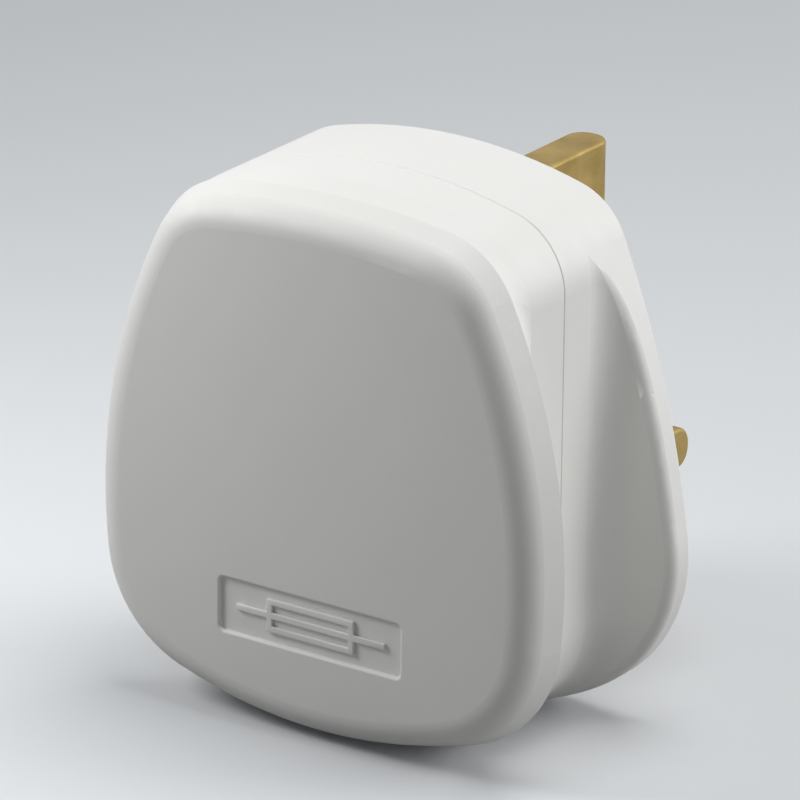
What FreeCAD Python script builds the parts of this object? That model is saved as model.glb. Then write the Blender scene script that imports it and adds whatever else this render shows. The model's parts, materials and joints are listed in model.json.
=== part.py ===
import FreeCAD, Part
import math
import os
import re
from FreeCAD import Vector
from Sketcher import Constraint

# A rewirable three pin plug with a fuse. The origin is the middle of the pin
# pattern on the engagement face, +Y is the way the pins point, +Z is towards
# the earth pin. Depths are measured from that face back towards the cover, so
# a depth is minus Y.

SIZES = {
    # Pin pattern and pins
    "pin_spacing": 22.23,
    "pin_rise": 22.23,
    "earth_thickness": 4.0,
    "earth_width": 8.0,
    "earth_length": 22.7,
    "line_width": 6.35,
    "line_thickness": 4.0,
    "line_length": 17.7,
    "pin_clearance": 0.1,
    "pin_edge": 0.35,
    "sleeve_length": 9.5,
    "sleeve_wall": 0.7,
    # Heads of the pins inside the base
    "head_width": 7.0,
    "earth_head": 10.5,
    "earth_head_room": 2.0,
    "neutral_head": 9.0,
    "pillar_height": 7.0,
    "live_head_height": 3.1,
    "live_head_above": 3.5,
    "live_head_below": 6.2,
    "wire_hole": 3.2,
    "wire_hole_rise": 3.6,
    "cell_wall": 1.2,
    "cell_clearance": 0.15,
    # Housing
    "seam_depth": 10.7,
    "cover_depth": 12.55,
    "wall": 2.2,
    "face_wall": 3.5,
    "front_wall": 2.6,
    "side_room": 5.355,
    "lip_wall": 1.0,
    "lip_height": 1.2,
    "lip_clearance": 0.1,
    "seam_bevel": 0.1,
    "face_edge": 0.5,
    # Outline of the front plate
    "front_plate": 4.0,
    "front_draft": 1.45,
    "front_round": 2.9,
    "front_crown": 9.3,
    "front_crown_radius": 80.0,
    "front_shoulder_radius": 9.1,
    "front_shoulder_out": 1.0,
    "front_side_radius": 59.2,
    "front_corner_inset": 7.2,
    "front_corner_radius": 13.1,
    "front_drop": 19.65,
    "front_base_radius": 48.5,
    # Outline of the back plate
    "back_crown": 9.765,
    "back_crown_radius": 51.0,
    "back_shoulder_radius": 7.0,
    "back_side_radius": 106.0,
    "back_corner_inset": 8.59,
    "back_corner_radius": 15.74,
    "back_drop": 19.465,
    "back_base_radius": 81.3,
    # Finger grips in the two sides
    "waist_corner_radius": 11.0,
    "front_slope": 3.25,
    "grip_radius": 3.3,
    "grip_start": 6.4,
    "grip_wall": 2.75,
    "grip_ridge": 1.0,
    # Recessed panel on the front
    "panel_width": 19.86,
    "panel_height": 5.21,
    "panel_drop": 8.15,
    "panel_depth": 0.45,
    "panel_corner": 0.5,
    "panel_rim": 0.3,
    # Fuse
    "fuse_length": 25.4,
    "fuse_diameter": 6.3,
    "cap_length": 5.5,
    "cap_wall": 0.3,
    "cap_end": 0.4,
    "fuse_clearance": 0.05,
    "tube_bore": 3.0,
    "fuse_wire_diameter": 0.4,
    # Fuse clips and live terminal
    "clip_sheet": 0.6,
    "clip_width": 5.0,
    "clip_mouth": 4.6,
    "rivet_diameter": 1.8,
    "rivet_head": 2.6,
    "rivet_head_height": 0.5,
    "terminal_width": 6.0,
    "terminal_length": 4.0,
    "terminal_height": 5.4,
    "terminal_gap": 0.4,
    # Screws
    "screw_diameter": 3.3,
    "screw_head": 5.2,
    "screw_head_height": 2.0,
    "small_screw_diameter": 2.6,
    "small_screw_head": 4.2,
    "small_screw_head_height": 1.6,
    "screw_gap": 0.6,
    "screw_bite": 1.0,
    "screw_clearance": 0.1,
    "slot_width": 0.9,
    "slot_depth": 0.9,
    # Cover screw with its washer and insert
    "cover_screw_drop": 5.2,
    "cover_screw_diameter": 3.5,
    "cover_screw_head": 6.4,
    "cover_screw_head_height": 2.4,
    "cover_screw_sunk": 0.5,
    "pillar_diameter": 8.4,
    "pillar_gap": 1.0,
    "washer_diameter": 7.0,
    "washer_thickness": 0.8,
    "boss_diameter": 9.0,
    "boss_gap": 0.15,
    "insert_size": 6.0,
    "insert_length": 5.5,
    # Cord grip and cord entry
    "entry_diameter": 9.0,
    "grip_drop": 10.9,
    "grip_end": 3.0,
    "grip_head_gap": 0.6,
    "grip_post": 6.4,
    "grip_post_height": 5.5,
    "grip_strap_length": 24.6,
    "grip_strap_width": 5.4,
    "grip_strap_thickness": 2.0,
    "grip_arch_wall": 2.0,
    "grip_screw_length": 6.0,
    "saddle_height": 1.6,
}

# Places that several pieces share
LINE_X = "(pin_spacing / 2)"
PIN_Z = "(pin_rise / 2)"
WAIST_X = "(pin_spacing / 2 + side_room + wall)"
FRONT = "(seam_depth + cover_depth)"
PLATE_REAR = "(seam_depth + cover_depth - front_plate)"
COVER_FLOOR = "(seam_depth + cover_depth - front_wall)"
PILLAR_TOP = "(face_wall + pillar_height)"
LIVE_TOP = "(face_wall + live_head_height)"
FUSE_RADIUS = "(fuse_diameter / 2)"
CLIP_RADIUS = "(fuse_diameter / 2 + fuse_clearance)"
FUSE_DEPTH = f"({LIVE_TOP} + clip_sheet + {CLIP_RADIUS})"
FUSE_LOW = f"(-{PIN_Z} - cap_length / 2)"
FUSE_HIGH = f"({FUSE_LOW} + fuse_length)"
HIGH_CAP = f"({FUSE_HIGH} - cap_length / 2)"
FRONT_CROWN = f"({FUSE_HIGH} + front_crown)"
BACK_CROWN = f"({FUSE_HIGH} + back_crown)"
FRONT_SHOULDER = f"({WAIST_X} + front_shoulder_out - front_shoulder_radius)"
BACK_SHOULDER = f"({WAIST_X} - back_shoulder_radius)"
EARTH_HEAD_TOP = f"({BACK_CROWN} - wall - earth_head_room)"
EARTH_HEAD_LOW = f"({EARTH_HEAD_TOP} - earth_head)"
EARTH_SCREW_Z = f"({EARTH_HEAD_TOP} - earth_head / 2)"
TERMINAL_LOW = f"({FUSE_HIGH} + terminal_gap)"
TERMINAL_Z = f"({TERMINAL_LOW} + terminal_length / 2)"
TERMINAL_BASE = f"({LIVE_TOP} + clip_sheet)"
TERMINAL_TOP = f"({TERMINAL_BASE} + terminal_height)"
RIVET_Z = f"({FUSE_LOW} - rivet_head / 2 - terminal_gap)"
WIRE_DEPTH = "(face_wall + wire_hole_rise)"
GRIP_Z = f"(-{PIN_Z} - grip_drop)"
GRIP_X = "(grip_strap_length / 2 - grip_end)"
ARCH_RADIUS = f"({GRIP_X} - small_screw_head / 2 - grip_head_gap - grip_arch_wall)"
POST_TOP = "(face_wall + grip_post_height)"
SCREW_Z = "(-cover_screw_drop)"
PILLAR_END = "(seam_depth - pillar_gap)"
BOSS_END = "(seam_depth + boss_gap)"
INSERT_END = f"({BOSS_END} + insert_length)"
HEAD_SEAT = "(cover_screw_sunk + cover_screw_head_height)"

# Heights of the waist's corners and shoulders, which the grips turn round
CORNER_Z = f"(waist_corner_radius - {PIN_Z} - back_drop)"
SHOULDER_Z = (f"({BACK_CROWN} - back_crown_radius"
              f" + ((back_crown_radius - back_shoulder_radius) ^ 2 - {BACK_SHOULDER} ^ 2) ^ 0.5)")
# How far a grip's cut reaches out, past the plate's side
GRIP_REACH = "(4 * grip_radius)"
# How far in degrees a grip goes on round the shoulder, to where it has died out
SHOULDER_TURN = 30
# The share of a blade's thickness that each curve of its nose takes
NOSE_SHARE = 0.46

doc = FreeCAD.newDocument("plug")
sizes = doc.addObject("Spreadsheet::Sheet", "Sizes")
for row, (name, number) in enumerate(SIZES.items(), start=1):
    sizes.set(f"A{row}", name)
    sizes.set(f"B{row}", str(number))
    sizes.setAlias(f"B{row}", name)
doc.recompute()


def formula(text):
    """The text with the sheet's name put before the name of each size."""
    return re.sub("[a-z][a-z_]+", lambda word: "Sizes." + word.group(), text)


def value(text):
    """The number that a formula of sizes comes to."""
    return float(sizes.evalExpression(formula(text)))


def new_body(label):
    body = doc.addObject("PartDesign::Body", label)
    body.Label = label
    return body


def new_sketch(body, name, offset="0", plane="XZ_Plane"):
    """A sketch on one of the body's own planes, moved along its normal.
    On XZ_Plane the normal is -Y, so the offset there is a depth."""
    sketch = body.newObject("Sketcher::SketchObject", f"{body.Label}_{name}")
    origin = [part for part in body.Origin.OriginFeatures if part.Role == plane]
    sketch.AttachmentSupport = [(origin[0], "")]
    sketch.MapMode = "FlatFace"
    sketch.setExpression(".AttachmentOffset.Base.z", formula(offset))
    return sketch


def fix(sketch, kind, *where, size):
    """Adds a constraint whose size is a formula."""
    index = sketch.addConstraint(Constraint(kind, *where, value(size)))
    sketch.setExpression(f"Constraints[{index}]", formula(size))


def place(sketch, edge, point, x, y):
    """Holds one point of an edge at (x, y) from the sketch's origin."""
    fix(sketch, "DistanceX", -1, 1, edge, point, size=x)
    fix(sketch, "DistanceY", -1, 1, edge, point, size=y)


def arc_between(start, end, radius, turn):
    """The short arc from start to end that turns left (1) or right (-1)."""
    chord = end - start
    rise = math.sqrt(max(radius ** 2 - (chord.Length / 2) ** 2, 0))
    across = Vector(-chord.y, chord.x, 0).normalize()
    centre = (start + end) / 2 + across * rise * turn
    first, last = (start, end) if turn > 0 else (end, start)
    return arc_about(centre, radius, first, last)


def arc_about(centre, radius, first, last):
    """An arc that runs counterclockwise from first to last."""
    begin = math.atan2(first.y - centre.y, first.x - centre.x)
    finish = math.atan2(last.y - centre.y, last.x - centre.x)
    if finish < begin:
        finish += 2 * math.pi
    circle = Part.Circle(centre, Vector(0, 0, 1), radius)
    return Part.ArcOfCircle(circle, begin, finish)


def profile(sketch, corners):
    """A closed outline. A corner is (x, y), or (x, y, radius, turn) where the
    edge that leaves it is an arc."""
    points = [Vector(value(corner[0]), value(corner[1]), 0) for corner in corners]
    begin = sketch.GeometryCount
    ends = []
    for index, corner in enumerate(corners):
        start = points[index]
        end = points[(index + 1) % len(points)]
        turn = 1
        if len(corner) == 2:
            sketch.addGeometry(Part.LineSegment(start, end))
        else:
            turn = corner[3]
            sketch.addGeometry(arc_between(start, end, value(corner[2]), turn))
        ends.append((1, 2) if turn > 0 else (2, 1))
    for index, corner in enumerate(corners):
        follow = (index + 1) % len(corners)
        sketch.addConstraint(Constraint(
            "Coincident", begin + index, ends[index][1], begin + follow, ends[follow][0]))
        place(sketch, begin + index, ends[index][0], corner[0], corner[1])
        if len(corner) > 2:
            fix(sketch, "Radius", begin + index, size=corner[2])


def rectangle(sketch, left, right, low, high):
    profile(sketch, [(left, low), (right, low), (right, high), (left, high)])


def circle(sketch, x, y, diameter):
    centre = Vector(value(x), value(y), 0)
    edge = sketch.addGeometry(Part.Circle(centre, Vector(0, 0, 1), value(diameter) / 2))
    place(sketch, edge, 3, x, y)
    fix(sketch, "Diameter", edge, size=diameter)


def failed_objects():
    return [item.Name for item in doc.Objects if {"Invalid", "Error"} & set(item.State)]


def finish(body, feature, grows):
    """Recomputes and makes sure that the feature added or cut something."""
    before = body.Shape.Volume if body.Shape.Solids else 0
    doc.recompute()
    change = body.Shape.Volume - before
    if (change > 1e-6) != grows or abs(change) < 1e-6:
        raise RuntimeError(f"{feature.Name} changed the volume by {change:.4f}: {failed_objects()}")
    return feature


def pad(body, sketch, length, back=False, draft="0"):
    """Adds material along the sketch's normal, or the other way if back. Its
    far end is smaller all round by the draft."""
    feature = body.newObject("PartDesign::Pad", sketch.Name + "_pad")
    feature.Profile = sketch
    feature.setExpression("Length", formula(length))
    feature.setExpression("TaperAngle", f"-atan(({formula(draft)}) / ({formula(length)}))")
    feature.Reversed = back
    return finish(body, feature, True)


def pocket(body, sketch, length, forward=False):
    """Cuts against the sketch's normal, or along it if forward."""
    feature = body.newObject("PartDesign::Pocket", sketch.Name + "_pocket")
    feature.Profile = sketch
    feature.setExpression("Length", formula(length))
    feature.Reversed = forward
    return finish(body, feature, False)


def dress(body, kind, name, edges, size_name, size):
    """A fillet or chamfer on the edges of the body that pass a test."""
    base = body.Tip
    found = [f"Edge{index}" for index, edge in enumerate(base.Shape.Edges, start=1)
             if edges(edge)]
    feature = body.newObject(f"PartDesign::{kind}", f"{body.Label}_{name}")
    feature.Base = (base, found)
    feature.setExpression(size_name, formula(size))
    doc.recompute()
    return feature


def at_depth(depth):
    """A test for edges that lie wholly at one depth."""
    y = -value(depth)
    return lambda edge: (abs(edge.BoundBox.YMin - y) < 1e-4
                         and abs(edge.BoundBox.YMax - y) < 1e-4)


# Outlines of the housing. Its crown stands a set room above the fuse's end

CROWN = {"front": FRONT_CROWN, "back": BACK_CROWN}
SHOULDER = {"front": FRONT_SHOULDER, "back": BACK_SHOULDER}


def shoulder_centre(side):
    """Centre of a plate's shoulder arc, which is tangent to its crown arc."""
    crown_radius = value(f"{side}_crown_radius")
    x = value(SHOULDER[side])
    reach = crown_radius - value(f"{side}_shoulder_radius")
    crown_centre = value(CROWN[side]) - crown_radius
    return Vector(x, crown_centre + math.sqrt(reach ** 2 - x ** 2), 0)


def corner_centre(side):
    """Centre of a plate's bottom corner arc, tangent to its base arc."""
    base_radius = value(f"{side}_base_radius")
    x = value(f"{WAIST_X} - {side}_corner_inset")
    reach = base_radius - value(f"{side}_corner_radius")
    base_centre = base_radius - value(f"{PIN_Z} + {side}_drop")
    return Vector(x, base_centre - math.sqrt(reach ** 2 - x ** 2), 0)


def circles_meet(one, reach_one, other, reach_other, turn):
    """Where two circles cross, on the left (1) or right (-1) of the line
    from the first centre to the second."""
    along = other - one
    span = along.Length
    along.normalize()
    step = (reach_one ** 2 - reach_other ** 2 + span ** 2) / (2 * span)
    rise = math.sqrt(reach_one ** 2 - step ** 2)
    return one + along * step + Vector(-along.y, along.x, 0) * rise * turn


def towards(centre, radius, point):
    """The point of a circle in the direction of another point."""
    return centre + (point - centre).normalize() * radius


def mirrored(point):
    return Vector(-point.x, point.y, 0)


def plate_outline(sketch, side):
    """The outline of the front or back plate: eight arcs, each tangent to
    the next, symmetrical about the middle."""
    crown_radius = value(f"{side}_crown_radius")
    shoulder_radius = value(f"{side}_shoulder_radius")
    side_radius = value(f"{side}_side_radius")
    corner_radius = value(f"{side}_corner_radius")
    base_radius = value(f"{side}_base_radius")
    crown = Vector(0, value(CROWN[side]) - crown_radius, 0)
    base = Vector(0, base_radius - value(f"{PIN_Z} + {side}_drop"), 0)
    shoulder = shoulder_centre(side)
    corner = corner_centre(side)
    flank = circles_meet(corner, side_radius - corner_radius,
                         shoulder, side_radius - shoulder_radius, 1)
    joints = [towards(base, base_radius, corner),
              towards(flank, side_radius, corner),
              towards(flank, side_radius, shoulder),
              towards(crown, crown_radius, shoulder)]
    joints += [mirrored(point) for point in reversed(joints)]
    centres = [corner, flank, shoulder, crown,
               mirrored(shoulder), mirrored(flank), mirrored(corner), base]
    radii = [corner_radius, side_radius, shoulder_radius, crown_radius,
             shoulder_radius, side_radius, corner_radius, base_radius]
    for index in range(8):
        sketch.addGeometry(arc_about(centres[index], radii[index],
                                     joints[index], joints[(index + 1) % 8]))
    for index in range(8):
        sketch.addConstraint(Constraint("Tangent", index, 2, (index + 1) % 8, 1))
    fix(sketch, "Radius", 0, size=f"{side}_corner_radius")
    fix(sketch, "Radius", 1, size=f"{side}_side_radius")
    fix(sketch, "Radius", 2, size=f"{side}_shoulder_radius")
    fix(sketch, "Radius", 3, size=f"{side}_crown_radius")
    fix(sketch, "Radius", 7, size=f"{side}_base_radius")
    for right, left in ((0, 6), (1, 5), (2, 4)):
        sketch.addConstraint(Constraint("Equal", right, left))
    corner_x = f"({WAIST_X} - {side}_corner_inset)"
    for edge, x in ((0, corner_x), (2, SHOULDER[side]),
                    (4, "-" + SHOULDER[side]), (6, "-" + corner_x)):
        fix(sketch, "DistanceX", -1, 1, edge, 3, size=x)
    place(sketch, 3, 3, "0", f"{CROWN[side]} - {side}_crown_radius")
    place(sketch, 7, 3, "0", f"{side}_base_radius - {PIN_Z} - {side}_drop")


def waist_outline(sketch, inset="0"):
    """The outline between the finger grips, moved inwards by the inset: the
    back plate's crown, shoulders and base, with upright sides and corners."""
    crown_radius = value(f"back_crown_radius - {inset}")
    shoulder_radius = value(f"back_shoulder_radius - {inset}")
    corner_radius = value(f"waist_corner_radius - {inset}")
    base_radius = value(f"back_base_radius - {inset}")
    half_width = value(f"{WAIST_X} - {inset}")
    crown = Vector(0, value(f"{BACK_CROWN} - back_crown_radius"), 0)
    base = Vector(0, value(f"back_base_radius - {PIN_Z} - back_drop"), 0)
    shoulder = shoulder_centre("back")
    corner = Vector(value(f"{WAIST_X} - waist_corner_radius"),
                    value(f"waist_corner_radius - {PIN_Z} - back_drop"), 0)
    joints = [circles_meet(corner, corner_radius, base, base_radius, -1),
              Vector(half_width, corner.y, 0),
              Vector(half_width, shoulder.y, 0),
              towards(crown, crown_radius, shoulder)]
    joints += [mirrored(point) for point in reversed(joints)]
    sketch.addGeometry([
        arc_about(corner, corner_radius, joints[0], joints[1]),
        Part.LineSegment(joints[1], joints[2]),
        arc_about(shoulder, shoulder_radius, joints[2], joints[3]),
        arc_about(crown, crown_radius, joints[3], joints[4]),
        arc_about(mirrored(shoulder), shoulder_radius, joints[4], joints[5]),
        Part.LineSegment(joints[5], joints[6]),
        arc_about(mirrored(corner), corner_radius, joints[6], joints[7]),
        arc_about(base, base_radius, joints[7], joints[0])])
    for index in range(8):
        kind = "Coincident" if index > 5 else "Tangent"
        sketch.addConstraint(Constraint(kind, index, 2, (index + 1) % 8, 1))
    for edge in (1, 5):
        sketch.addConstraint(Constraint("Vertical", edge))
    for edge, sign in ((0, ""), (6, "-")):
        fix(sketch, "Radius", edge, size=f"waist_corner_radius - {inset}")
        place(sketch, edge, 3, f"{sign}({WAIST_X} - waist_corner_radius)",
              f"waist_corner_radius - {PIN_Z} - back_drop")
    for edge in (2, 4):
        fix(sketch, "Radius", edge, size=f"back_shoulder_radius - {inset}")
    fix(sketch, "Radius", 3, size=f"back_crown_radius - {inset}")
    place(sketch, 3, 3, "0", f"{BACK_CROWN} - back_crown_radius")
    fix(sketch, "Radius", 7, size=f"back_base_radius - {inset}")
    place(sketch, 7, 3, "0", f"back_base_radius - {PIN_Z} - back_drop")


def ruled_loft(body, one, other):
    """Joins two outlines of as many edges by straight lines."""
    loft = body.newObject("PartDesign::AdditiveLoft", other.Name + "_loft")
    loft.Profile = one
    loft.Sections = [other]
    loft.Ruled = True
    return finish(body, loft, True)


def seam_bevel(body, start):
    """Narrows the last of the waist towards the seam, for a fine groove."""
    full = new_sketch(body, "bevel_start", start)
    waist_outline(full)
    narrow = new_sketch(body, "bevel_end", "seam_depth")
    waist_outline(narrow, "seam_bevel")
    ruled_loft(body, full, narrow)


def cord_entry(body):
    """Half of the round hole in the bottom wall where the cord comes in."""
    hole = new_sketch(body, "entry", f"-{PIN_Z} - back_drop - wall", "XY_Plane")
    circle(hole, "0", "-seam_depth", "entry_diameter")
    pocket(body, hole, "wall * 3", forward=True)


def make_cover():
    """The front half: a drafted plate with a round edge, on a narrower waist."""
    cover = new_body("cover")
    front = new_sketch(cover, "front_outline", PLATE_REAR)
    plate_outline(front, "front")
    pad(cover, front, "front_plate", draft="front_draft")
    dress(cover, "Fillet", "front_round", at_depth(FRONT), "Radius", "front_round")

    waist = new_sketch(cover, "waist", f"{PLATE_REAR} - front_slope")
    waist_outline(waist)
    ruled_loft(cover, front, waist)
    pad(cover, waist, f"{PLATE_REAR} - front_slope - seam_depth - seam_bevel", back=True)
    seam_bevel(cover, "seam_depth + seam_bevel")

    # The lip stands past the seam and fits inside the base
    lip = new_sketch(cover, "lip", "seam_depth")
    waist_outline(lip, "(wall - lip_wall)")
    pad(cover, lip, "lip_height", back=True)
    cavity = new_sketch(cover, "cavity", "seam_depth - lip_height")
    waist_outline(cavity, "wall")
    pocket(cover, cavity, f"{COVER_FLOOR} - seam_depth + lip_height", forward=True)

    boss = new_sketch(cover, "boss", BOSS_END)
    circle(boss, "0", SCREW_Z, "boss_diameter")
    pad(cover, boss, f"{COVER_FLOOR} - {BOSS_END}")
    seat = new_sketch(cover, "insert_seat", BOSS_END)
    hexagon(seat, "0", SCREW_Z, "insert_size")
    pocket(cover, seat, "insert_length", forward=True)
    bore = new_sketch(cover, "screw_bore", INSERT_END)
    circle(bore, "0", SCREW_Z, "cover_screw_diameter + 2 * screw_clearance")
    pocket(cover, bore, "screw_bite * 2", forward=True)

    # A rib that stops just above the fuse keeps it in its clips
    rib = new_sketch(cover, "fuse_rib", f"{FUSE_DEPTH} + {FUSE_RADIUS} + screw_gap")
    rectangle(rib, f"{LINE_X} - {FUSE_RADIUS}", f"{LINE_X} + {FUSE_RADIUS}",
              f"({FUSE_LOW} + {FUSE_HIGH}) / 2 - cell_wall", f"({FUSE_LOW} + {FUSE_HIGH}) / 2 + cell_wall")
    pad(cover, rib, f"{COVER_FLOOR} - {FUSE_DEPTH} - {FUSE_RADIUS} - screw_gap")
    cord_entry(cover)

    panel = new_sketch(cover, "panel", FRONT)
    rectangle(panel, "-panel_width / 2", "panel_width / 2",
              f"-{PIN_Z} - panel_drop - panel_height / 2", f"-{PIN_Z} - panel_drop + panel_height / 2")
    pocket(cover, panel, "panel_depth")
    floor = value(f"{FRONT} - panel_depth")
    dress(cover, "Fillet", "panel_corners",
          lambda edge: edge.Length < value("panel_depth") * 1.01
          and abs(edge.BoundBox.YMin + value(FRONT)) < 1e-4
          and abs(edge.BoundBox.YMax + floor) < 1e-4, "Radius", "panel_corner")
    at_front = at_depth(FRONT)
    dress(cover, "Fillet", "panel_rim",
          lambda edge: at_front(edge) and edge.BoundBox.ZMax < -value(f"{PIN_Z}")
          and edge.BoundBox.ZMin > -value(f"{PIN_Z} + panel_drop + panel_height"),
          "Radius", "panel_rim")
    return cover


def hexagon(sketch, x, y, across):
    """A hexagon with two flats upright, by its size across the flats."""
    half = f"{across} / 2"
    tip = f"{across} * {1 / math.sqrt(3):.6f}"
    profile(sketch, [
        (f"{x} + {half}", f"{y} - {tip} / 2"),
        (f"{x} + {half}", f"{y} + {tip} / 2"),
        (x, f"{y} + {tip}"),
        (f"{x} - {half}", f"{y} + {tip} / 2"),
        (f"{x} - {half}", f"{y} - {tip} / 2"),
        (x, f"{y} - {tip}")])


def grip_profile(sketch, centre):
    """The section of a finger grip below the waist: a hollow curve up to a
    steep wall. X is measured from the given centre."""
    floor = f"({WAIST_X} - {centre})"
    profile(sketch, [
        (f"{floor} + {GRIP_REACH}", "-seam_depth"),
        (f"{floor} + {GRIP_REACH}", "-grip_wall"),
        (f"{floor} + grip_radius", "grip_radius - grip_start", "grip_radius", 1),
        (floor, "-grip_start")])


def make_base():
    """The back half, which carries the pins and everything inside."""
    base = new_body("base")
    outline = new_sketch(base, "outline", "0")
    plate_outline(outline, "back")
    pad(base, outline, "grip_start")
    waist = new_sketch(base, "waist", "grip_start")
    waist_outline(waist)
    pad(base, waist, "seam_depth - seam_bevel - grip_start")
    cut_grips(base)
    seam_bevel(base, "seam_depth - seam_bevel")
    dress(base, "Fillet", "face_edge", at_depth("0"), "Radius", "face_edge")

    rebate = new_sketch(base, "rebate", "seam_depth")
    waist_outline(rebate, "(wall - lip_wall - lip_clearance)")
    pocket(base, rebate, "lip_height + lip_clearance")
    cavity = new_sketch(base, "cavity", "seam_depth")
    waist_outline(cavity, "wall")
    pocket(base, cavity, "seam_depth - face_wall")

    make_cells(base)
    make_posts(base)
    cord_entry(base)
    return base


def turned_grip(base, name, radius, height, upwards):
    """The part of a grip that turns round a corner or shoulder of the waist."""
    section = new_sketch(base, f"grip_{name}", height, "XY_Plane")
    section.setExpression(".AttachmentOffset.Base.x", formula(f"{WAIST_X} - {radius}"))
    grip_profile(section, f"({WAIST_X} - {radius})")
    turned = base.newObject("PartDesign::Groove", f"base_grip_{name}_turn")
    turned.Profile = section
    turned.ReferenceAxis = (section, ["V_Axis"])
    turned.Angle = SHOULDER_TURN if upwards else 90
    turned.Reversed = upwards
    return finish(base, turned, False)


def on_both_sides(base, name, cuts):
    """Repeats cuts of the right side on the left side."""
    both = base.newObject("PartDesign::Mirrored", f"base_{name}")
    both.Originals = cuts
    middle = [part for part in base.Origin.OriginFeatures if part.Role == "YZ_Plane"]
    both.MirrorPlane = (middle[0], [""])
    base.Tip = both
    finish(base, both, False)


def on_ridge(edge):
    """A test for the curved edges where a grip's wall meets the back plate's
    side: they change depth, lie on one side and are not across the depth."""
    box = edge.BoundBox
    one_side = box.XMin * box.XMax > 0
    within = box.YMax < -value("face_edge") and box.YMin > -value("seam_depth - lip_height")
    return one_side and within and box.YLength > 0.05 and box.ZLength > 0.5


def cut_grips(base):
    """The hollow in each side: straight down the side and round the corner
    below it. Then it also turns up round the shoulder, where it dies out."""
    side = new_sketch(base, "grip_side", CORNER_Z, "XY_Plane")
    grip_profile(side, "0")
    straight = pocket(base, side, f"{BACK_CROWN} - {CORNER_Z}", forward=True)
    corner = turned_grip(base, "corner", "waist_corner_radius", CORNER_Z, False)
    on_both_sides(base, "grips", [straight, corner])
    dress(base, "Fillet", "ridge", on_ridge, "Radius", "grip_ridge")
    shoulder = turned_grip(base, "shoulder", "back_shoulder_radius", SHOULDER_Z, True)
    on_both_sides(base, "grip_ends", [shoulder])


def cell(base, name, left, right, low, high):
    """A low wall round a pin's head, with a clearance inside it."""
    gap = "cell_clearance"
    wall = "(cell_clearance + cell_wall)"
    outer = new_sketch(base, name + "_cell", "face_wall")
    rectangle(outer, f"{left} - {wall}", f"{right} + {wall}", f"{low} - {wall}", f"{high} + {wall}")
    rectangle(outer, f"{left} - {gap}", f"{right} + {gap}", f"{low} - {gap}", f"{high} + {gap}")
    pad(base, outer, "live_head_height")


def make_cells(base):
    """Cells for the pins' heads, the slots under them and the live ledge."""
    half = "head_width / 2"
    cell(base, "earth", f"-{half}", half, EARTH_HEAD_LOW, EARTH_HEAD_TOP)
    cell(base, "neutral", f"-{LINE_X} - {half}", f"-{LINE_X} + {half}",
         f"-{PIN_Z} - neutral_head / 2", f"-{PIN_Z} + neutral_head / 2")
    cell(base, "live", f"{LINE_X} - {half}", f"{LINE_X} + {half}",
         f"-{PIN_Z} - live_head_below", f"-{PIN_Z} + live_head_above")
    ledge = new_sketch(base, "ledge", "face_wall")
    rectangle(ledge, f"{LINE_X} - {CLIP_RADIUS}", f"{LINE_X} + {CLIP_RADIUS}",
              f"{HIGH_CAP} - clip_width / 2", f"{TERMINAL_LOW} + terminal_length")
    pad(base, ledge, "live_head_height")
    slots = new_sketch(base, "slots", "face_wall")
    earth_x = "(earth_thickness / 2 + pin_clearance)"
    earth_z = "(earth_width / 2 + pin_clearance)"
    line_x = "(line_width / 2 + pin_clearance)"
    line_z = "(line_thickness / 2 + pin_clearance)"
    rectangle(slots, f"-{earth_x}", earth_x, f"{PIN_Z} - {earth_z}", f"{PIN_Z} + {earth_z}")
    for middle in (LINE_X, f"-{LINE_X}"):
        rectangle(slots, f"{middle} - {line_x}", f"{middle} + {line_x}",
                  f"-{PIN_Z} - {line_z}", f"-{PIN_Z} + {line_z}")
    pocket(base, slots, "face_wall")


def make_posts(base):
    """The pillar of the cover screw, the cord grip's posts and its saddle."""
    pillar = new_sketch(base, "pillar", "face_wall")
    circle(pillar, "0", SCREW_Z, "pillar_diameter")
    pad(base, pillar, f"{PILLAR_END} - face_wall")
    bore = new_sketch(base, "screw_bore", PILLAR_END)
    circle(bore, "0", SCREW_Z, "cover_screw_diameter + 2 * screw_clearance")
    pocket(base, bore, PILLAR_END)
    sink = new_sketch(base, "screw_sink", HEAD_SEAT)
    circle(sink, "0", SCREW_Z, "cover_screw_head + 4 * screw_clearance")
    pocket(base, sink, HEAD_SEAT)
    posts = new_sketch(base, "grip_posts", "face_wall")
    circle(posts, GRIP_X, GRIP_Z, "grip_post")
    circle(posts, f"-{GRIP_X}", GRIP_Z, "grip_post")
    pad(base, posts, "grip_post_height")
    holes = new_sketch(base, "grip_holes", POST_TOP)
    circle(holes, GRIP_X, GRIP_Z, "small_screw_diameter + 2 * screw_clearance")
    circle(holes, f"-{GRIP_X}", GRIP_Z, "small_screw_diameter + 2 * screw_clearance")
    pocket(base, holes, "grip_post_height")
    saddle = new_sketch(base, "saddle", "face_wall")
    for step in ("grip_strap_width / 2", "-grip_strap_width / 2"):
        rectangle(saddle, "-" + ARCH_RADIUS, ARCH_RADIUS,
                  f"{GRIP_Z} + {step} - cell_wall / 2", f"{GRIP_Z} + {step} + cell_wall / 2")
    pad(base, saddle, "saddle_height")


# Pins and their sleeves

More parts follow.
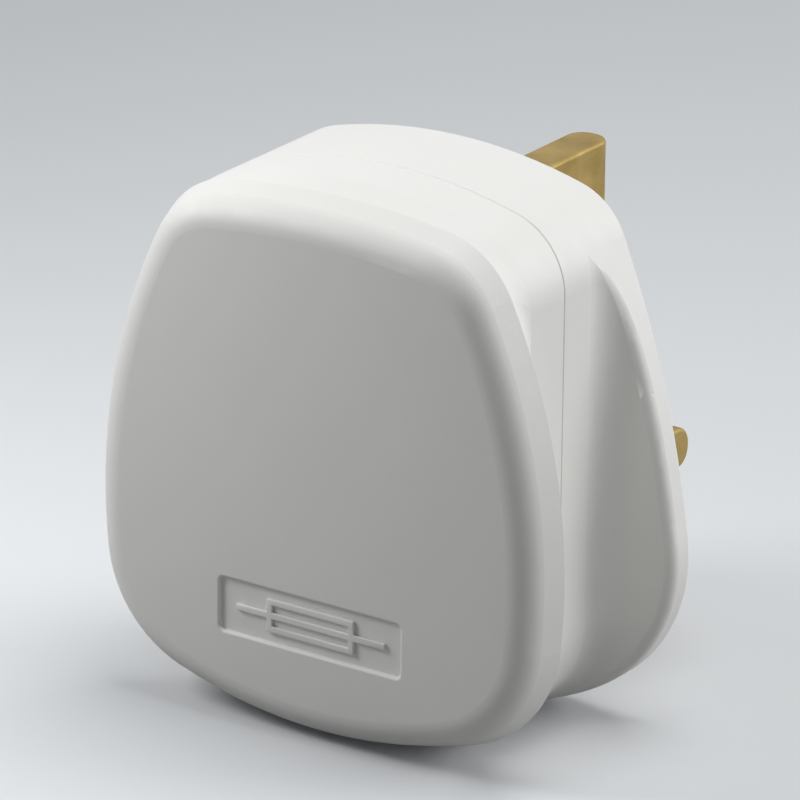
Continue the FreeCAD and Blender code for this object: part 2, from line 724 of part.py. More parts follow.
def round_nose(pin, start, tip, across, thickness):
    """Rounds a blade's nose over its thickness, then eases the edges of its
    two narrow faces. Across is the axis that the nose's edges run along."""
    begin = value(start)
    end = value(tip)

    def across_length(edge):
        return getattr(edge.BoundBox, across + "Length")

    def at_nose(edge):
        box = edge.BoundBox
        return abs(box.YMin - end) < 1e-4 and abs(box.YMax - end) < 1e-4 and across_length(edge) > 1

    def beside_narrow_face(edge):
        return across_length(edge) < 1e-3 and edge.BoundBox.YMax > begin + 1e-3

    dress(pin, "Fillet", "nose", at_nose, "Radius", f"{thickness} * {NOSE_SHARE}")
    dress(pin, "Fillet", "edges", beside_narrow_face, "Radius", "pin_edge")


def wire_terminal(body, x, z, top, screw):
    """A cross hole for the wire and the screw's hole down into it."""
    wire = new_sketch(body, "wire_hole", f"{z} - neutral_head", "XY_Plane")
    circle(wire, x, f"-{WIRE_DEPTH}", "wire_hole")
    pocket(body, wire, "2 * neutral_head", forward=True)
    screw_hole = new_sketch(body, "screw_hole", top)
    circle(screw_hole, x, z, f"{screw} + 2 * screw_clearance")
    pocket(body, screw_hole, f"{top} - {WIRE_DEPTH}")


def make_earth_pin():
    pin = new_body("earth_pin")
    blade = new_sketch(pin, "blade", "face_wall")
    rectangle(blade, "-earth_thickness / 2", "earth_thickness / 2",
              f"{PIN_Z} - earth_width / 2", f"{PIN_Z} + earth_width / 2")
    pad(pin, blade, "face_wall + earth_length", back=True)
    round_nose(pin, "-face_wall", "earth_length", "Z", "earth_thickness")
    head = new_sketch(pin, "head", "face_wall")
    rectangle(head, "-head_width / 2", "head_width / 2", EARTH_HEAD_LOW, EARTH_HEAD_TOP)
    pad(pin, head, "pillar_height")
    wire_terminal(pin, "0", EARTH_SCREW_Z, PILLAR_TOP, "screw_diameter")
    return pin


def make_line_pin(label, middle, head_low, head_high, head_height):
    """A live or neutral pin, necked down where its sleeve goes."""
    pin = new_body(label)
    blade = new_sketch(pin, "blade", "-sleeve_length")
    rectangle(blade, f"{middle} - line_width / 2", f"{middle} + line_width / 2",
              f"-{PIN_Z} - line_thickness / 2", f"-{PIN_Z} + line_thickness / 2")
    pad(pin, blade, "line_length - sleeve_length", back=True)
    round_nose(pin, "sleeve_length", "line_length", "X", "line_thickness")
    neck = new_sketch(pin, "neck", "face_wall")
    rectangle(neck, f"{middle} - line_width / 2 + sleeve_wall", f"{middle} + line_width / 2 - sleeve_wall",
              f"-{PIN_Z} - line_thickness / 2 + sleeve_wall", f"-{PIN_Z} + line_thickness / 2 - sleeve_wall")
    pad(pin, neck, "face_wall + sleeve_length", back=True)
    head = new_sketch(pin, "head", "face_wall")
    rectangle(head, f"{middle} - head_width / 2", f"{middle} + head_width / 2",
              f"-{PIN_Z} - {head_low}", f"-{PIN_Z} + {head_high}")
    pad(pin, head, head_height)
    return pin


def make_sleeve(label, middle):
    """The insulating sleeve, flush with the brass past it."""
    sleeve = new_body(label)
    tube = new_sketch(sleeve, "tube", "face_wall")
    rectangle(tube, f"{middle} - line_width / 2", f"{middle} + line_width / 2",
              f"-{PIN_Z} - line_thickness / 2", f"-{PIN_Z} + line_thickness / 2")
    rectangle(tube, f"{middle} - line_width / 2 + sleeve_wall", f"{middle} + line_width / 2 - sleeve_wall",
              f"-{PIN_Z} - line_thickness / 2 + sleeve_wall", f"-{PIN_Z} + line_thickness / 2 - sleeve_wall")
    pad(sleeve, tube, "face_wall + sleeve_length", back=True)
    reach = value("line_width / 2")

    def is_outer_edge(edge):
        box = edge.BoundBox
        along = box.YLength > 1 and max(box.XLength, box.ZLength) < 1e-3
        return along and abs(abs(box.XMin - value(middle)) - reach) < 1e-3

    dress(sleeve, "Fillet", "edges", is_outer_edge, "Radius", "pin_edge")
    return sleeve


# Fuse, clips and live terminal

def make_clip(label, middle, foot_low, foot_high, hole):
    """A spring clip: a foot, and jaws that close round the fuse's cap."""
    clip = new_body(label)
    ring = new_sketch(clip, "ring", f"{middle} - clip_width / 2", "XY_Plane")
    circle(ring, LINE_X, f"-{FUSE_DEPTH}", f"2 * {CLIP_RADIUS} + 2 * clip_sheet")
    circle(ring, LINE_X, f"-{FUSE_DEPTH}", f"2 * {CLIP_RADIUS}")
    pad(clip, ring, "clip_width")
    mouth = new_sketch(clip, "mouth", f"{middle} - clip_width", "XY_Plane")
    rectangle(mouth, f"{LINE_X} - clip_mouth / 2", f"{LINE_X} + clip_mouth / 2",
              f"-{FUSE_DEPTH} - fuse_diameter", f"-{FUSE_DEPTH}")
    pocket(clip, mouth, "2 * clip_width", forward=True)
    foot = new_sketch(clip, "foot", LIVE_TOP)
    rectangle(foot, f"{LINE_X} - terminal_width / 2", f"{LINE_X} + terminal_width / 2",
              foot_low, foot_high)
    pad(clip, foot, "clip_sheet")
    eye = new_sketch(clip, "eye", TERMINAL_BASE)
    circle(eye, LINE_X, hole, "rivet_diameter")
    pocket(clip, eye, "clip_sheet")
    return clip


def make_live_terminal():
    """A brass pillar on the upper clip's foot, with a spigot through it."""
    terminal = new_body("live_terminal")
    block = new_sketch(terminal, "block", TERMINAL_BASE)
    rectangle(block, f"{LINE_X} - terminal_width / 2", f"{LINE_X} + terminal_width / 2",
              TERMINAL_LOW, f"{TERMINAL_LOW} + terminal_length")
    pad(terminal, block, "terminal_height")
    spigot = new_sketch(terminal, "spigot", LIVE_TOP)
    circle(spigot, LINE_X, TERMINAL_Z, "rivet_diameter")
    pad(terminal, spigot, "clip_sheet")
    wire = new_sketch(terminal, "wire_hole", f"{LINE_X} - terminal_width", "YZ_Plane")
    circle(wire, f"-{TERMINAL_BASE} - terminal_height / 2", TERMINAL_Z, "small_screw_diameter")
    pocket(terminal, wire, "2 * terminal_width", forward=True)
    screw_hole = new_sketch(terminal, "screw_hole", TERMINAL_TOP)
    circle(screw_hole, LINE_X, TERMINAL_Z, "small_screw_diameter + 2 * screw_clearance")
    pocket(terminal, screw_hole, "terminal_height / 2")
    return terminal


def make_fuse():
    """The cartridge fuse: two caps on a ceramic tube, with a wire in sand."""
    tube_outer = "fuse_diameter - 2 * cap_wall - 2 * fuse_clearance"
    caps = []
    for label, low, inside in (("lower_fuse_cap", FUSE_LOW, True), ("upper_fuse_cap", FUSE_HIGH, False)):
        cap = new_body(label)
        start = low if inside else f"{low} - cap_length"
        outside = new_sketch(cap, "outside", start, "XY_Plane")
        circle(outside, LINE_X, f"-{FUSE_DEPTH}", "fuse_diameter")
        pad(cap, outside, "cap_length")
        rim = f"{start} + cap_length" if inside else start
        hollow = new_sketch(cap, "hollow", rim, "XY_Plane")
        circle(hollow, LINE_X, f"-{FUSE_DEPTH}", "fuse_diameter - 2 * cap_wall")
        pocket(cap, hollow, "cap_length - cap_end", forward=not inside)
        caps.append(cap)
    length = "(fuse_length - 2 * cap_end - 2 * fuse_clearance)"
    start = f"{FUSE_LOW} + cap_end + fuse_clearance"
    tube = new_body("fuse_tube")
    wall = new_sketch(tube, "wall", start, "XY_Plane")
    circle(wall, LINE_X, f"-{FUSE_DEPTH}", tube_outer)
    circle(wall, LINE_X, f"-{FUSE_DEPTH}", "tube_bore")
    pad(tube, wall, length)
    sand = new_body("fuse_sand")
    filling = new_sketch(sand, "filling", start, "XY_Plane")
    circle(filling, LINE_X, f"-{FUSE_DEPTH}", "tube_bore - 2 * fuse_clearance")
    circle(filling, LINE_X, f"-{FUSE_DEPTH}", "fuse_wire_diameter + 2 * fuse_clearance")
    pad(sand, filling, length)
    wire = new_body("fuse_wire")
    strand = new_sketch(wire, "strand", f"{FUSE_LOW} + cap_end", "XY_Plane")
    circle(strand, LINE_X, f"-{FUSE_DEPTH}", "fuse_wire_diameter")
    pad(wire, strand, "fuse_length - 2 * cap_end")
    return caps + [tube, sand, wire]


def make_rivet():
    """The rivet that holds the lower clip on the live pin."""
    rivet = new_body("clip_rivet")
    shank = new_sketch(rivet, "shank", TERMINAL_BASE)
    circle(shank, LINE_X, RIVET_Z, "rivet_diameter")
    pad(rivet, shank, "clip_sheet + live_head_height", back=True)
    head = new_sketch(rivet, "head", TERMINAL_BASE)
    circle(head, LINE_X, RIVET_Z, "rivet_head")
    pad(rivet, head, "rivet_head_height")
    return rivet


# Fasteners

def make_screw(label, x, z, seat, shank, head, head_height, length):
    """A slotted cheese head screw that points to +Y, by its head's seat."""
    screw = new_body(label)
    top = new_sketch(screw, "head", seat)
    circle(top, x, z, head)
    pad(screw, top, head_height)
    stem = new_sketch(screw, "stem", seat)
    circle(stem, x, z, shank)
    pad(screw, stem, length, back=True)
    slot = new_sketch(screw, "slot", f"{seat} + {head_height}")
    rectangle(slot, f"{x} - {head}", f"{x} + {head}", f"{z} - slot_width / 2", f"{z} + slot_width / 2")
    pocket(screw, slot, "slot_depth")
    return screw


def make_terminal_screws():
    seat = f"({PILLAR_TOP} + screw_gap)"
    length = f"{PILLAR_TOP} + screw_gap - {WIRE_DEPTH} - wire_hole / 2 + screw_bite"
    earth = make_screw("earth_terminal_screw", "0", EARTH_SCREW_Z, seat, "screw_diameter",
                       "screw_head", "screw_head_height", length)
    neutral = make_screw("neutral_terminal_screw", f"(-{LINE_X})", f"(-{PIN_Z})", seat, "screw_diameter",
                         "screw_head", "screw_head_height", length)
    live = make_screw("live_terminal_screw", LINE_X, TERMINAL_Z, f"({TERMINAL_TOP} + screw_gap)",
                      "small_screw_diameter", "small_screw_head", "small_screw_head_height",
                      "terminal_height / 2 + screw_gap")
    return [earth, neutral, live]


def make_cover_screw():
    """The screw that comes in through the engagement face. Its head is on
    the face's side, so it points to -Y."""
    screw = new_body("cover_screw")
    top = new_sketch(screw, "head", "cover_screw_sunk")
    circle(top, "0", SCREW_Z, "cover_screw_head")
    pad(screw, top, "cover_screw_head_height")
    stem = new_sketch(screw, "stem", HEAD_SEAT)
    circle(stem, "0", SCREW_Z, "cover_screw_diameter")
    pad(screw, stem, f"{INSERT_END} - {HEAD_SEAT} + screw_bite")
    slot = new_sketch(screw, "slot", "cover_screw_sunk + slot_depth")
    rectangle(slot, "-cover_screw_head", "cover_screw_head",
              f"{SCREW_Z} - slot_width / 2", f"{SCREW_Z} + slot_width / 2")
    pocket(screw, slot, "slot_depth + cover_screw_sunk")
    return screw


def make_washer():
    """The washer that keeps the cover screw in the base."""
    washer = new_body("retaining_washer")
    ring = new_sketch(washer, "ring", PILLAR_END)
    circle(ring, "0", SCREW_Z, "washer_diameter")
    circle(ring, "0", SCREW_Z, "cover_screw_diameter + 2 * screw_clearance")
    pad(washer, ring, "washer_thickness")
    return washer


def make_insert():
    """The brass hexagon that the cover screw turns into."""
    insert = new_body("cover_insert")
    body = new_sketch(insert, "outside", BOSS_END)
    hexagon(body, "0", SCREW_Z, "insert_size")
    pad(insert, body, "insert_length")
    bore = new_sketch(insert, "bore", INSERT_END)
    circle(bore, "0", SCREW_Z, "cover_screw_diameter + 2 * screw_clearance")
    pocket(insert, bore, "insert_length")
    return insert


def make_cord_grip():
    """The strap over the cord, with an arch in its middle, and its screws."""
    strap = new_body("cord_grip")
    bar = new_sketch(strap, "bar", POST_TOP)
    rectangle(bar, "-grip_strap_length / 2", "grip_strap_length / 2",
              f"{GRIP_Z} - grip_strap_width / 2", f"{GRIP_Z} + grip_strap_width / 2")
    pad(strap, bar, "grip_strap_thickness")
    arch = new_sketch(strap, "arch", f"{GRIP_Z} - grip_strap_width / 2", "XY_Plane")
    circle(arch, "0", f"-{POST_TOP}", f"2 * {ARCH_RADIUS} + 2 * grip_arch_wall")
    pad(strap, arch, "grip_strap_width")
    below = new_sketch(strap, "below", f"{GRIP_Z} - grip_strap_width", "XY_Plane")
    rectangle(below, "-grip_strap_length", "grip_strap_length",
              f"-{POST_TOP}", f"-{POST_TOP} + grip_strap_length")
    pocket(strap, below, "2 * grip_strap_width", forward=True)
    tunnel = new_sketch(strap, "tunnel", f"{GRIP_Z} - grip_strap_width", "XY_Plane")
    circle(tunnel, "0", f"-{POST_TOP}", f"2 * {ARCH_RADIUS}")
    pocket(strap, tunnel, "2 * grip_strap_width", forward=True)
    holes = new_sketch(strap, "holes", f"{POST_TOP} + grip_strap_thickness")
    circle(holes, GRIP_X, GRIP_Z, "small_screw_diameter + 2 * screw_clearance")
    circle(holes, f"-{GRIP_X}", GRIP_Z, "small_screw_diameter + 2 * screw_clearance")
    pocket(strap, holes, "grip_strap_thickness")
    screws = [make_screw(f"cord_grip_screw_{side}", f"({sign}{GRIP_X})", GRIP_Z,
                         f"({POST_TOP} + grip_strap_thickness)", "small_screw_diameter",
                         "small_screw_head", "small_screw_head_height", "grip_screw_length")
              for side, sign in (("left", "-"), ("right", ""))]
    return [strap] + screws


def make_plug():
    """Every piece of the plug, as one list."""
    bodies = [make_cover(), make_base(), make_earth_pin()]
    neutral = make_line_pin("neutral_pin", f"(-{LINE_X})", "neutral_head / 2",
                            "neutral_head / 2", "pillar_height")
    wire_terminal(neutral, f"-{LINE_X}", f"(-{PIN_Z})", PILLAR_TOP, "screw_diameter")
    live = make_line_pin("live_pin", LINE_X, "live_head_below", "live_head_above", "live_head_height")
    rivet_hole = new_sketch(live, "rivet_hole", LIVE_TOP)
    circle(rivet_hole, LINE_X, RIVET_Z, "rivet_diameter")
    pocket(live, rivet_hole, "live_head_height")
    bodies += [neutral, live]
    bodies += [make_sleeve("neutral_pin_sleeve", f"(-{LINE_X})"), make_sleeve("live_pin_sleeve", LINE_X)]
    bodies += [make_clip("lower_fuse_clip", f"(-{PIN_Z})", f"{RIVET_Z} - rivet_head / 2 - terminal_gap / 2",
                         f"-{PIN_Z} + clip_width / 2", RIVET_Z),
               make_clip("upper_fuse_clip", HIGH_CAP, f"{HIGH_CAP} - clip_width / 2",
                         f"{TERMINAL_LOW} + terminal_length", TERMINAL_Z)]
    bodies += [make_live_terminal(), make_rivet()] + make_fuse() + make_terminal_screws()
    bodies += [make_cover_screw(), make_washer(), make_insert()] + make_cord_grip()
    return bodies


def write(bodies):
    """Checks the whole document, then writes one file for each piece."""
    doc.recompute()
    if failed_objects():
        raise RuntimeError(f"failed objects: {failed_objects()}")
    os.makedirs("parts", exist_ok=True)
    for body in bodies:
        shape = body.Shape
        if shape.isNull() or not shape.isValid() or len(shape.Solids) != 1:
            raise RuntimeError(f"{body.Label} is not one valid solid")
        shape.exportStep(f"parts/{body.Label}.step")
        print(f"{body.Label}: {shape.Volume:.1f} mm3")


write(make_plug())
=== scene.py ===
"""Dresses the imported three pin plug: its materials, the raised sign in the cover's panel, the
threads of its screws, a plain studio and the camera of the photograph. Lengths are in metres."""

import json
import math

import bmesh
import bpy
from mathutils import Matrix, Vector


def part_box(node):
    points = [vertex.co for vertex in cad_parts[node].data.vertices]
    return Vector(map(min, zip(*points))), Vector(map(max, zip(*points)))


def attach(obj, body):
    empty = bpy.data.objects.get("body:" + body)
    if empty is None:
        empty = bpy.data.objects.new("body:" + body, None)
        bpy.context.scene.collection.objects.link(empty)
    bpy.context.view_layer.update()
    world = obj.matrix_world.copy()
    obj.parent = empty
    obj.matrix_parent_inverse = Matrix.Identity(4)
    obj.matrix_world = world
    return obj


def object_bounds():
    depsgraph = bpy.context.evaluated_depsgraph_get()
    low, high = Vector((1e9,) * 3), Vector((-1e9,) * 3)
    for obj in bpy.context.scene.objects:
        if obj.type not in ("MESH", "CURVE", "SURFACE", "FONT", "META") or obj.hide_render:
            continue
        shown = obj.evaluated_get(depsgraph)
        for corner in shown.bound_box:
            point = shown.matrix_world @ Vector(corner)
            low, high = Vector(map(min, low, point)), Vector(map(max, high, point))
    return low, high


MM = 0.001

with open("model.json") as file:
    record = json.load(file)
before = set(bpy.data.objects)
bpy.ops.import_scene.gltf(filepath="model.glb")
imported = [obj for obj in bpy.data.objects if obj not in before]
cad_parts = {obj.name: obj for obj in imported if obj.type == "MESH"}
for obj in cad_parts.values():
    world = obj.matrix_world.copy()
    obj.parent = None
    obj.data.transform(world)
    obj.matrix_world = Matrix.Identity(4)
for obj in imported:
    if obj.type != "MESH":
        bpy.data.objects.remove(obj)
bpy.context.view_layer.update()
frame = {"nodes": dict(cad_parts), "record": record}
nodes = frame["nodes"]


def add_object(name, data):
    """Puts a new object with this data in the scene."""
    new = bpy.data.objects.new(name, data)
    bpy.context.scene.collection.objects.link(new)
    return new


# Camera, fitted to the pin tips and the housing's outline in the photograph

CAMERA_AZIMUTH = math.radians(34.401)
CAMERA_ELEVATION = math.radians(20.99)
CAMERA_ROLL = math.radians(0.602)
CAMERA_DISTANCE = 668.83 * MM
CAMERA_RIGHT_SHIFT = 1.645 * MM
CAMERA_UP_SHIFT = -0.765 * MM
CAMERA_TARGET = Vector((0, -12, 0)) * MM
FOCAL_PIXELS = 7407.8
PICTURE_PIXELS = 800
SENSOR_WIDTH = 36


def make_camera():
    """Puts the camera where the photograph was taken from, with the same field of view."""
    level = math.cos(CAMERA_ELEVATION)
    back = Vector((math.sin(CAMERA_AZIMUTH) * level,
                   -math.cos(CAMERA_AZIMUTH) * level,
                   math.sin(CAMERA_ELEVATION)))
    right = (-back).cross(Vector((0, 0, 1))).normalized()
    up = right.cross(-back)
    rolled_right = right * math.cos(CAMERA_ROLL) + up * math.sin(CAMERA_ROLL)
    rolled_up = up * math.cos(CAMERA_ROLL) - right * math.sin(CAMERA_ROLL)
    place = (CAMERA_TARGET + back * CAMERA_DISTANCE
             + rolled_right * CAMERA_RIGHT_SHIFT + rolled_up * CAMERA_UP_SHIFT)

    data = bpy.data.cameras.new("camera")
    data.sensor_width = SENSOR_WIDTH
    data.lens = FOCAL_PIXELS * SENSOR_WIDTH / PICTURE_PIXELS
    data.clip_start = 0.01
    data.clip_end = 20
    camera = add_object("camera", data)
    turn = Matrix((rolled_right, rolled_up, back)).transposed().to_4x4()
    camera.matrix_world = Matrix.Translation(place) @ turn
    bpy.context.scene.camera = camera


# Materials

NOISE_LOW = 0.3
NOISE_HIGH = 0.7

CLOUD_SIZE = 9 * MM
CLOUD_SHADE = 0.985
MARK_SIZE = 1.6 * MM
GRAIN_SIZE = 0.28 * MM
GRAIN_HEIGHT = 0.008 * MM
WAVE_SIZE = 3.5 * MM
WAVE_HEIGHT = 0.012 * MM

TARNISH_SIZE = 3.5 * MM
BRUSH_SIZE = 0.12 * MM
BRUSH_STRETCH = 24
BRUSH_HEIGHT = 0.003 * MM
DENT_SIZE = 1.8 * MM
DENT_HEIGHT = 0.006 * MM


class Surface:
    """A material under construction: a principled shader, with short calls that add texture."""

    def __init__(self, name, colour, roughness, metallic=0.0):
        self.material = bpy.data.materials.new(name)
        self.material.use_nodes = True
        self.tree = self.material.node_tree
        self.shader = self.tree.nodes["Principled BSDF"]
        self.shader.inputs["Base Color"].default_value = (*colour, 1)
        self.shader.inputs["Roughness"].default_value = roughness
        self.shader.inputs["Metallic"].default_value = metallic
        self.place = self.tree.nodes.new("ShaderNodeTexCoord").outputs["Object"]

    def link(self, start, end):
        self.tree.links.new(start, end)

    def noise(self, size, detail=3.0, stretch=(1, 1, 1)):
        """Noise whose features are about this size, in metres, made longer along an axis by stretch."""
        mapping = self.tree.nodes.new("ShaderNodeMapping")
        mapping.inputs["Scale"].default_value = [1 / (size * factor) for factor in stretch]
        self.link(self.place, mapping.inputs["Vector"])
        node = self.tree.nodes.new("ShaderNodeTexNoise")
        node.inputs["Scale"].default_value = 1
        node.inputs["Detail"].default_value = detail
        self.link(mapping.outputs["Vector"], node.inputs["Vector"])
        return node.outputs["Fac"]

    def ranged(self, source, low, high):
        """Maps the noise's usual range to low..high."""
        node = self.tree.nodes.new("ShaderNodeMapRange")
        node.inputs["From Min"].default_value = NOISE_LOW
        node.inputs["From Max"].default_value = NOISE_HIGH
        node.inputs["To Min"].default_value = low
        node.inputs["To Max"].default_value = high
        self.link(source, node.inputs["Value"])
        return node.outputs["Result"]

    def colours(self, source, first, second):
        """Colour that goes from the first to the second with the source, joined to the shader."""
        node = self.tree.nodes.new("ShaderNodeValToRGB")
        node.color_ramp.elements[0].position = NOISE_LOW
        node.color_ramp.elements[0].color = (*first, 1)
        node.color_ramp.elements[1].position = NOISE_HIGH
        node.color_ramp.elements[1].color = (*second, 1)
        self.link(source, node.inputs["Fac"])
        self.link(node.outputs["Color"], self.shader.inputs["Base Color"])

    def roughness(self, source, low, high):
        self.link(self.ranged(source, low, high), self.shader.inputs["Roughness"])

    def bumps(self, *layers):
        """Stacks bump layers, each a source and its height in metres."""
        previous = None
        for source, height in layers:
            node = self.tree.nodes.new("ShaderNodeBump")
            node.inputs["Strength"].default_value = 1
            node.inputs["Distance"].default_value = height
            self.link(source, node.inputs["Height"])
            if previous:
                self.link(previous.outputs["Normal"], node.inputs["Normal"])
            previous = node
        self.link(previous.outputs["Normal"], self.shader.inputs["Normal"])


def moulded_plastic(name, colour, roughness):
    """Satin moulded plastic: a fine grain, slow waves, faint colour clouds and handling marks."""
    surface = Surface(name, colour, roughness)
    surface.colours(surface.noise(CLOUD_SIZE), [part * CLOUD_SHADE for part in colour], colour)
    surface.roughness(surface.noise(MARK_SIZE, detail=5), roughness - 0.05, roughness + 0.06)
    surface.bumps((surface.noise(GRAIN_SIZE), GRAIN_HEIGHT),
                  (surface.noise(WAVE_SIZE, detail=1), WAVE_HEIGHT))
    return surface.material


def worked_metal(name, dark, light, roughness, along):
    """Metal brushed along one axis, with slow clouds of tarnish."""
    stretch = [BRUSH_STRETCH if axis == along else 1 for axis in "xyz"]
    surface = Surface(name, light, roughness, metallic=1)
    surface.colours(surface.noise(TARNISH_SIZE, detail=6), dark, light)
    lines = surface.noise(BRUSH_SIZE, detail=4, stretch=stretch)
    surface.roughness(lines, roughness - 0.07, roughness + 0.1)
    surface.bumps((lines, BRUSH_HEIGHT),
                  (surface.noise(DENT_SIZE, detail=2), DENT_HEIGHT))
    return surface.material


def grainy(name, dark, light, roughness, size, height):
    """Matt mineral or fibre with grains of one size."""
    surface = Surface(name, light, roughness)
    grains = surface.noise(size, detail=5)
    surface.colours(grains, dark, light)
    surface.roughness(grains, roughness - 0.05, roughness + 0.05)
    surface.bumps((grains, height))
    return surface.material


def make_materials():
    """One material for each slot of the record."""
    return {
        "white_plastic": moulded_plastic("white_plastic", (0.80, 0.793, 0.77), 0.52),
        "brass_pins": worked_metal("brass_pins", (0.27, 0.19, 0.062), (0.40, 0.29, 0.11), 0.56, "y"),
        "sleeve_plastic": moulded_plastic("sleeve_plastic", (0.02, 0.02, 0.022), 0.45),
        "spring_brass": worked_metal("spring_brass", (0.50, 0.36, 0.14), (0.66, 0.50, 0.22), 0.3, "z"),
        "terminal_brass": worked_metal("terminal_brass", (0.48, 0.34, 0.13), (0.62, 0.46, 0.2), 0.33, "x"),
        "plated_caps": worked_metal("plated_caps", (0.52, 0.51, 0.48), (0.68, 0.67, 0.64), 0.3, "z"),
        "plated_steel": worked_metal("plated_steel", (0.42, 0.42, 0.43), (0.60, 0.60, 0.61), 0.3, "x"),
        "ceramic_tube": grainy("ceramic_tube", (0.68, 0.64, 0.57), (0.78, 0.75, 0.69), 0.6,
                               0.3 * MM, 0.006 * MM),
        "quartz_sand": grainy("quartz_sand", (0.42, 0.37, 0.29), (0.66, 0.60, 0.50), 0.8,
                              0.35 * MM, 0.06 * MM),
        "fibre": grainy("fibre", (0.16, 0.035, 0.02), (0.24, 0.06, 0.035), 0.65, 0.4 * MM, 0.01 * MM),
        "grip_plastic": moulded_plastic("grip_plastic", (0.66, 0.66, 0.63), 0.5),
    }


def dress_nodes(materials):
    """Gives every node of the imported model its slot's material."""
    for part in frame["record"]["subparts"]:
        node = nodes[part["node"]]
        for slot in node.material_slots:
            slot.material = materials[part["material_slot"]]


# The raised sign in the cover's panel: the plain wiring sign for a fuse

PANEL_LOW = -21.87 * MM
PANEL_HIGH = -16.66 * MM
PANEL_DEPTH = 0.45 * MM
SIGN_BOX = 9.6 * MM
SIGN_HEIGHT = 3.3 * MM
SIGN_LENGTH = 16.4 * MM
SIGN_STROKE = 0.62 * MM
SIGN_RISE = 0.34 * MM
SIGN_BEVEL = 0.12 * MM


def sign_strokes(mesh, middle, floor):
    """The sign's outline as flat squares on the panel's floor: a box with a line through it."""
    box = SIGN_BOX / 2
    end = SIGN_LENGTH / 2
    top = SIGN_HEIGHT / 2
    half = SIGN_STROKE / 2
    columns = [-end, -box, -box + SIGN_STROKE, box - SIGN_STROKE, box, end]
    rows = [-top, -top + SIGN_STROKE, -half, half, top - SIGN_STROKE, top]
    points = [[mesh.verts.new((x, floor, middle + z)) for z in rows] for x in columns]
    for column in range(5):
        for row in range(5):
            on_line = row == 2
            on_box = 1 <= column <= 3 and (row in (0, 4) or column in (1, 3))
            if on_line or on_box:
                mesh.faces.new([points[column][row], points[column + 1][row],
                                points[column + 1][row + 1], points[column][row + 1]])
    loose = [point for point in mesh.verts if not point.link_faces]
    bmesh.ops.delete(mesh, geom=loose, context="VERTS")


def make_sign(material):
    """Raises the strokes from the panel's floor and rounds their edges."""
    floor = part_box("cover")[0].y + PANEL_DEPTH
    mesh = bmesh.new()
    sign_strokes(mesh, (PANEL_LOW + PANEL_HIGH) / 2, floor)
    raised = bmesh.ops.extrude_face_region(mesh, geom=mesh.faces[:])
    tops = [item for item in raised["geom"] if isinstance(item, bmesh.types.BMVert)]
    bmesh.ops.translate(mesh, verts=tops, vec=(0, -SIGN_RISE, 0))
    bmesh.ops.recalc_face_normals(mesh, faces=mesh.faces[:])
    data = bpy.data.meshes.new("panel_sign")
    mesh.to_mesh(data)
    mesh.free()
    sign = add_object("panel_sign", data)
    bevel = sign.modifiers.new("bevel", "BEVEL")
    bevel.width = SIGN_BEVEL
    bevel.segments = 3
    bevel.limit_method = "ANGLE"
    data.materials.append(material)
    data.shade_smooth()
    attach(sign, "root")


# Threads of the screws: ridges low enough to stay in the clearance of the screws' holes

LONG_SCREW = {"shank": 3.5 * MM, "head": 2.4 * MM, "pitch": 0.6 * MM}
WIDE_SCREW = {"shank": 3.3 * MM, "head": 2.0 * MM, "pitch": 0.6 * MM}
SMALL_SCREW = {"shank": 2.6 * MM, "head": 1.6 * MM, "pitch": 0.45 * MM}
SCREWS = {
    "cover_screw": LONG_SCREW,
    "earth_terminal_screw": WIDE_SCREW,
    "neutral_terminal_screw": WIDE_SCREW,
    "live_terminal_screw": SMALL_SCREW,
    "cord_grip_screw_left": SMALL_SCREW,
    "cord_grip_screw_right": SMALL_SCREW,
}
THREAD_RISE = 0.08 * MM
THREAD_ROOT = 0.03 * MM
THREAD_HALF_WIDTH = 0.4
THREAD_STEPS = 24


def thread_mesh(middle, start, length, radius, pitch):
    """A helical ridge along Y, as a chain of triangles that are joined by their sides."""
    mesh = bmesh.new()
    corners = [(radius - THREAD_ROOT, -THREAD_HALF_WIDTH * pitch), (radius + THREAD_RISE, 0),
               (radius - THREAD_ROOT, THREAD_HALF_WIDTH * pitch)]
    sections = []
    for step in range(int(length / pitch * THREAD_STEPS) + 1):
        turns = step / THREAD_STEPS
        angle = math.tau * turns
        sections.append([mesh.verts.new((middle.x + out * math.cos(angle),
                                         start + turns * pitch + along,
                                         middle.z + out * math.sin(angle)))
                         for out, along in corners])
    for here, there in zip(sections, sections[1:]):
        for corner in range(3):
            other = (corner + 1) % 3
            mesh.faces.new([here[corner], here[other], there[other], there[corner]])
    mesh.faces.new(sections[0])
    mesh.faces.new(sections[-1])
    bmesh.ops.recalc_face_normals(mesh, faces=mesh.faces[:])
    return mesh


def make_thread(name, screw, material):
    """Winds a thread round a screw's shank, from one turn past its one end to one turn short of
    its other. The cover screw has its head at the back, the other screws at the front."""
    low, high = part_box(name)
    head_at_back = name == "cover_screw"
    shank_start = low.y if head_at_back else low.y + screw["head"]
    shank_end = high.y - screw["head"] if head_at_back else high.y
    mesh = thread_mesh((low + high) / 2, shank_start + screw["pitch"],
                       shank_end - shank_start - 2 * screw["pitch"], screw["shank"] / 2, screw["pitch"])
    data = bpy.data.meshes.new(name + "_thread")
    mesh.to_mesh(data)
    mesh.free()
    thread = add_object(name + "_thread", data)
    data.materials.append(material)
    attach(thread, "root")


# Studio: a pale floor under the plug, and soft light from large lamps

FLOOR_SIZE = 8.0
PALE_COLOUR = (0.75, 0.77, 0.79)
FLOOR_BOUNCE_COLOUR = (0.24, 0.24, 0.24)
WORLD_LIGHT = 0.19
LAMP_TARGET = Vector((0, -10, 0)) * MM


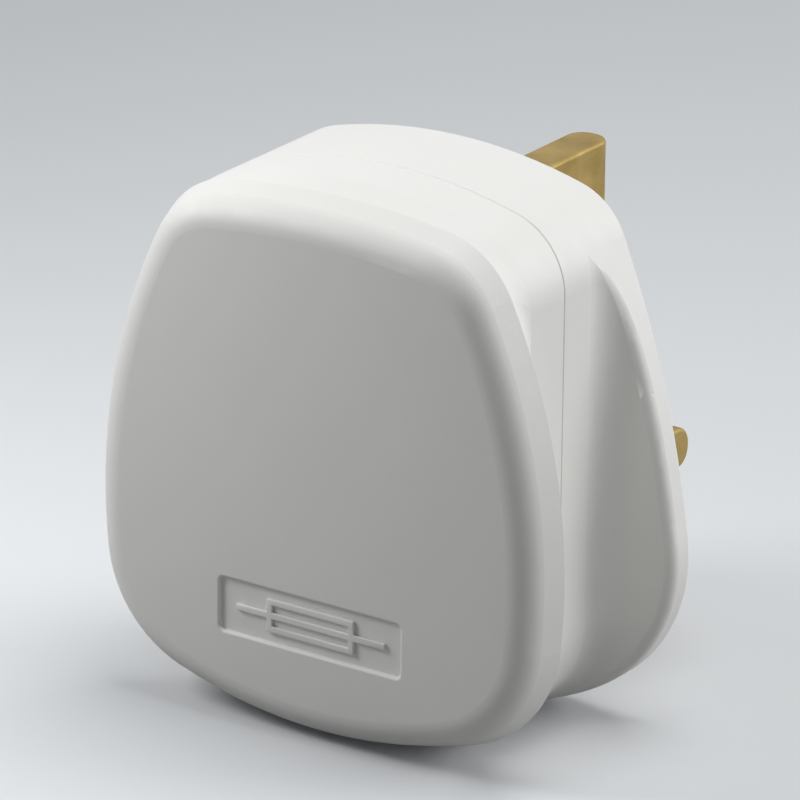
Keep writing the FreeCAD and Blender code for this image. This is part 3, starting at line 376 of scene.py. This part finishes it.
def seen_directly(tree):
    """One where a surface is seen, by the camera or in a reflection, and zero for soft light."""
    light_path = tree.nodes.new("ShaderNodeLightPath")
    either = tree.nodes.new("ShaderNodeMath")
    either.operation = "MAXIMUM"
    tree.links.new(light_path.outputs["Is Camera Ray"], either.inputs[0])
    tree.links.new(light_path.outputs["Is Glossy Ray"], either.inputs[1])
    return either.outputs["Value"]


def make_floor():
    """A plain pale floor that the plug stands on. It gives little light back to the object."""
    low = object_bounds()[0][2]
    bpy.ops.mesh.primitive_plane_add(size=FLOOR_SIZE, location=(0, 0, low))
    floor = bpy.context.object
    floor.name = "floor"
    surface = Surface("floor", PALE_COLOUR, 0.7)
    surface.bumps((surface.noise(2 * MM), 0.004 * MM))
    mix = surface.tree.nodes.new("ShaderNodeMix")
    mix.data_type = "RGBA"
    mix.inputs["A"].default_value = (*FLOOR_BOUNCE_COLOUR, 1)
    mix.inputs["B"].default_value = (*PALE_COLOUR, 1)
    surface.link(seen_directly(surface.tree), mix.inputs["Factor"])
    surface.link(mix.outputs["Result"], surface.shader.inputs["Base Color"])
    floor.data.materials.append(surface.material)


def lamp(name, place, size, power):
    """A square soft lamp that faces the plug and is not seen itself."""
    data = bpy.data.lights.new(name, "AREA")
    data.size = size
    data.energy = power
    light = add_object(name, data)
    light.location = place
    aim = LAMP_TARGET - Vector(place)
    light.rotation_euler = aim.to_track_quat("-Z", "Y").to_euler()
    light.visible_camera = False


def make_world():
    """Soft light from all round, with a pale backdrop where it is seen."""
    world = bpy.data.worlds.new("world")
    world.use_nodes = True
    tree = world.node_tree
    backdrop = tree.nodes["Background"]
    backdrop.inputs["Color"].default_value = (*PALE_COLOUR, 1)
    strength = tree.nodes.new("ShaderNodeMapRange")
    strength.inputs["To Min"].default_value = WORLD_LIGHT
    strength.inputs["To Max"].default_value = 1
    tree.links.new(seen_directly(tree), strength.inputs["Value"])
    tree.links.new(strength.outputs["Result"], backdrop.inputs["Strength"])
    bpy.context.scene.world = world


def make_studio():
    make_floor()
    make_world()
    lamp("near_left_lamp", (-0.10, -0.08, 0.075), 0.06, 0.113)
    lamp("top_lamp", (0.05, 0.05, 0.35), 0.25, 0.72)
    lamp("right_back_lamp", (0.85, 0.7, 0.35), 0.8, 6.2)
    lamp("right_lamp", (1.0, 0.35, 0.4), 0.8, 2.0)
    bpy.context.scene.view_settings.view_transform = "Standard"


def main():
    make_camera()
    materials = make_materials()
    dress_nodes(materials)
    make_sign(materials["white_plastic"])
    slots = {part["node"]: part["material_slot"] for part in frame["record"]["subparts"]}
    for name, screw in SCREWS.items():
        make_thread(name, screw, materials[slots[name]])
    make_studio()


main()
